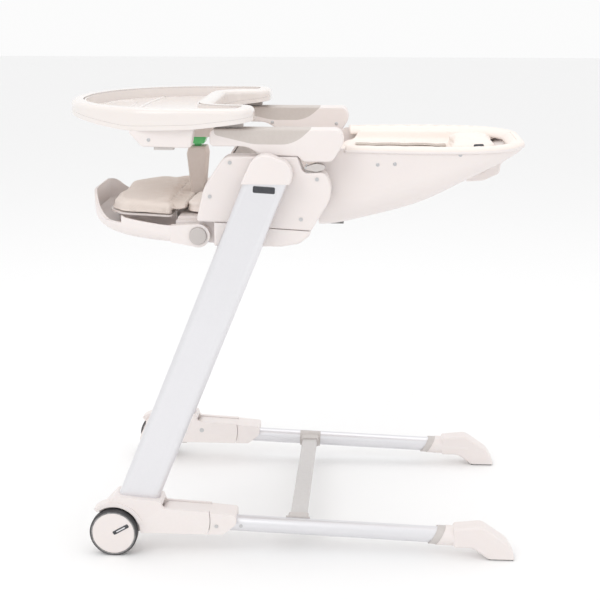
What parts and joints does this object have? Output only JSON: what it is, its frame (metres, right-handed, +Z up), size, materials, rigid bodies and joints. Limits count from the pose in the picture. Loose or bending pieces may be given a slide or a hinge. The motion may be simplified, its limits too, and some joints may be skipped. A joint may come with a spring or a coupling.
{
  "type": "baby high chair",
  "caption": "Folding baby high chair: raked legs on wheeled housings, floor tubes that fold up, sliding seat, reclining back, swinging footrest and a removable tray.",
  "frame": {"origin": "on the floor, below the middle of the chair's bounding box", "axes": "+Z up, -Y towards the front where the tray and footrest are, +X to the seated child's left"},
  "size_m": [0.546, 0.838, 0.814],
  "materials": {
    "aluminium": "satin anodised",
    "white_plastic": "fine satin",
    "gloss_white": "smooth gloss",
    "grey_plastic": "satin",
    "soft_grey": "soft matte",
    "beige_plastic": "satin",
    "green_plastic": "smooth",
    "painted_bar": "satin paint",
    "steel": "plated",
    "tyre": "matte",
    "rubber": "matte",
    "cream_fabric": "soft coated fabric",
    "beige_fabric": "woven"
  },
  "bodies": {
    "leg_frame": {"leg_left": "aluminium", "leg_right": "aluminium", "leg_caps": "white_plastic", "hinge_housing_left": "white_plastic", "hinge_housing_right": "white_plastic", "wheel_axles": "steel", "fold_pins": "steel"},
    "base_frame": {"tube_sockets": "white_plastic", "base_tubes": "aluminium", "rear_feet": "white_plastic", "foot_pads": "rubber", "tube_collars": "grey_plastic", "crossbar": "painted_bar", "crossbar_clamps": "grey_plastic", "base_screws": "steel"},
    "wheel_left": {"wheel_hub_left": "white_plastic", "tyre_left": "tyre"},
    "wheel_right": {"wheel_hub_right": "white_plastic", "tyre_right": "tyre"},
    "fold_button_left": {"fold_button_left": "grey_plastic"},
    "fold_button_right": {"fold_button_right": "grey_plastic"},
    "seat": {"seat_base": "white_plastic", "seat_deck": "white_plastic", "seat_cushion": "cream_fabric", "seat_frames": "grey_plastic", "seat_side_cover_left": "white_plastic", "seat_side_cover_right": "white_plastic", "armrests": "white_plastic", "armrest_inlays": "soft_grey", "carriage_sliders": "grey_plastic", "seat_pins": "steel", "crotch_post": "beige_plastic", "harness_buckle": "grey_plastic", "waist_straps": "beige_fabric", "cover_screws": "steel"},
    "post_catch": {"post_catch": "green_plastic"},
    "height_lever_left": {"height_lever_left": "grey_plastic"},
    "height_lever_right": {"height_lever_right": "grey_plastic"},
    "backrest": {"backrest_shell": "white_plastic", "back_panel": "white_plastic", "back_pad": "cream_fabric", "headrest": "cream_fabric", "shoulder_straps": "beige_fabric", "handle_pin": "steel", "shell_bumper": "rubber"},
    "recline_handle": {"recline_handle": "white_plastic"},
    "footrest": {"footrest_shell": "white_plastic", "calf_board": "white_plastic", "calf_pad": "beige_fabric"},
    "footrest_button_left": {"footrest_button_left": "grey_plastic"},
    "footrest_button_right": {"footrest_button_right": "grey_plastic"},
    "tray": {"tray_body": "white_plastic", "tray_base": "white_plastic", "tray_brackets": "white_plastic", "tray_runners": "grey_plastic", "catch_rail": "beige_plastic"},
    "tray_insert": {"tray_insert": "gloss_white"},
    "tray_lever_left": {"tray_lever_left": "grey_plastic"},
    "tray_lever_right": {"tray_lever_right": "grey_plastic"}
  },
  "joints": [
    {"name": "base_fold", "type": "hinge", "parent": "leg_frame", "child": "base_frame", "pos_m": [0, -0.222, 0.07], "axis": [1, 0, 0], "range_deg": [0, 68]},
    {"name": "wheel_spin_left", "type": "hinge", "parent": "leg_frame", "child": "wheel_left", "pos_m": [0.264, -0.321, 0.044], "axis": [1, 0, 0], "continuous": true},
    {"name": "wheel_spin_right", "type": "hinge", "parent": "leg_frame", "child": "wheel_right", "pos_m": [-0.264, -0.321, 0.044], "axis": [1, 0, 0], "continuous": true},
    {"name": "fold_button_press_left", "type": "slide", "parent": "leg_frame", "child": "fold_button_left", "axis": [0, 0, 1], "range_m": [0, 0.004], "stiffness_N_per_m": 900},
    {"name": "fold_button_press_right", "type": "slide", "parent": "leg_frame", "child": "fold_button_right", "axis": [0, 0, 1], "range_m": [0, 0.004], "stiffness_N_per_m": 900},
    {"name": "height_slide", "type": "slide", "parent": "leg_frame", "child": "seat", "axis": [0, 0.3762, 0.9265], "range_m": [-0.28, 0]},
    {"name": "post_catch_press", "type": "slide", "parent": "seat", "child": "post_catch", "axis": [0, 0, -1], "range_m": [0, 0.004], "stiffness_N_per_m": 900},
    {"name": "height_lever_left_squeeze", "type": "hinge", "parent": "seat", "child": "height_lever_left", "pos_m": [0.202, 0.028, 0.7114], "axis": [1, 0, 0], "range_deg": [0, 6], "stiffness_Nm_per_rad": 0.8},
    {"name": "height_lever_right_squeeze", "type": "hinge", "parent": "seat", "child": "height_lever_right", "pos_m": [-0.202, 0.028, 0.7114], "axis": [1, 0, 0], "range_deg": [0, 6], "stiffness_Nm_per_rad": 0.8},
    {"name": "backrest_recline", "type": "hinge", "parent": "seat", "child": "backrest", "pos_m": [0, -0.005, 0.667], "axis": [1, 0, 0], "range_deg": [0, 62]},
    {"name": "recline_handle_squeeze", "type": "hinge", "parent": "backrest", "child": "recline_handle", "pos_m": [0, 0.374, 0.703], "axis": [-1, 0, 0], "range_deg": [0, 6], "stiffness_Nm_per_rad": 2},
    {"name": "footrest_swing", "type": "hinge", "parent": "seat", "child": "footrest", "pos_m": [0, -0.163, 0.588], "axis": [1, 0, 0], "range_deg": [0, 75]},
    {"name": "footrest_button_press_left", "type": "slide", "parent": "footrest", "child": "footrest_button_left", "axis": [-1, 0, 0], "range_m": [0, 0.0025], "stiffness_N_per_m": 900},
    {"name": "footrest_button_press_right", "type": "slide", "parent": "footrest", "child": "footrest_button_right", "axis": [1, 0, 0], "range_m": [0, 0.0025], "stiffness_N_per_m": 900},
    {"name": "tray_slide", "type": "slide", "parent": "seat", "child": "tray", "axis": [0, -1, 0], "range_m": [0, 0.06]},
    {"name": "tray_insert_lift", "type": "slide", "parent": "tray", "child": "tray_insert", "axis": [0, 0, 1], "range_m": [0, 0.08]},
    {"name": "tray_lever_press_left", "type": "slide", "parent": "tray", "child": "tray_lever_left", "axis": [0, 0, 1], "range_m": [0, 0.003], "stiffness_N_per_m": 900},
    {"name": "tray_lever_press_right", "type": "slide", "parent": "tray", "child": "tray_lever_right", "axis": [0, 0, 1], "range_m": [0, 0.003], "stiffness_N_per_m": 900}
  ],
  "couplings": [
    {"joint": "height_lever_right_squeeze", "follows": "height_lever_left_squeeze", "ratio": 1},
    {"joint": "fold_button_press_right", "follows": "fold_button_press_left", "ratio": 1},
    {"joint": "tray_lever_press_right", "follows": "tray_lever_press_left", "ratio": 1},
    {"joint": "footrest_button_press_right", "follows": "footrest_button_press_left", "ratio": 1}
  ]
}
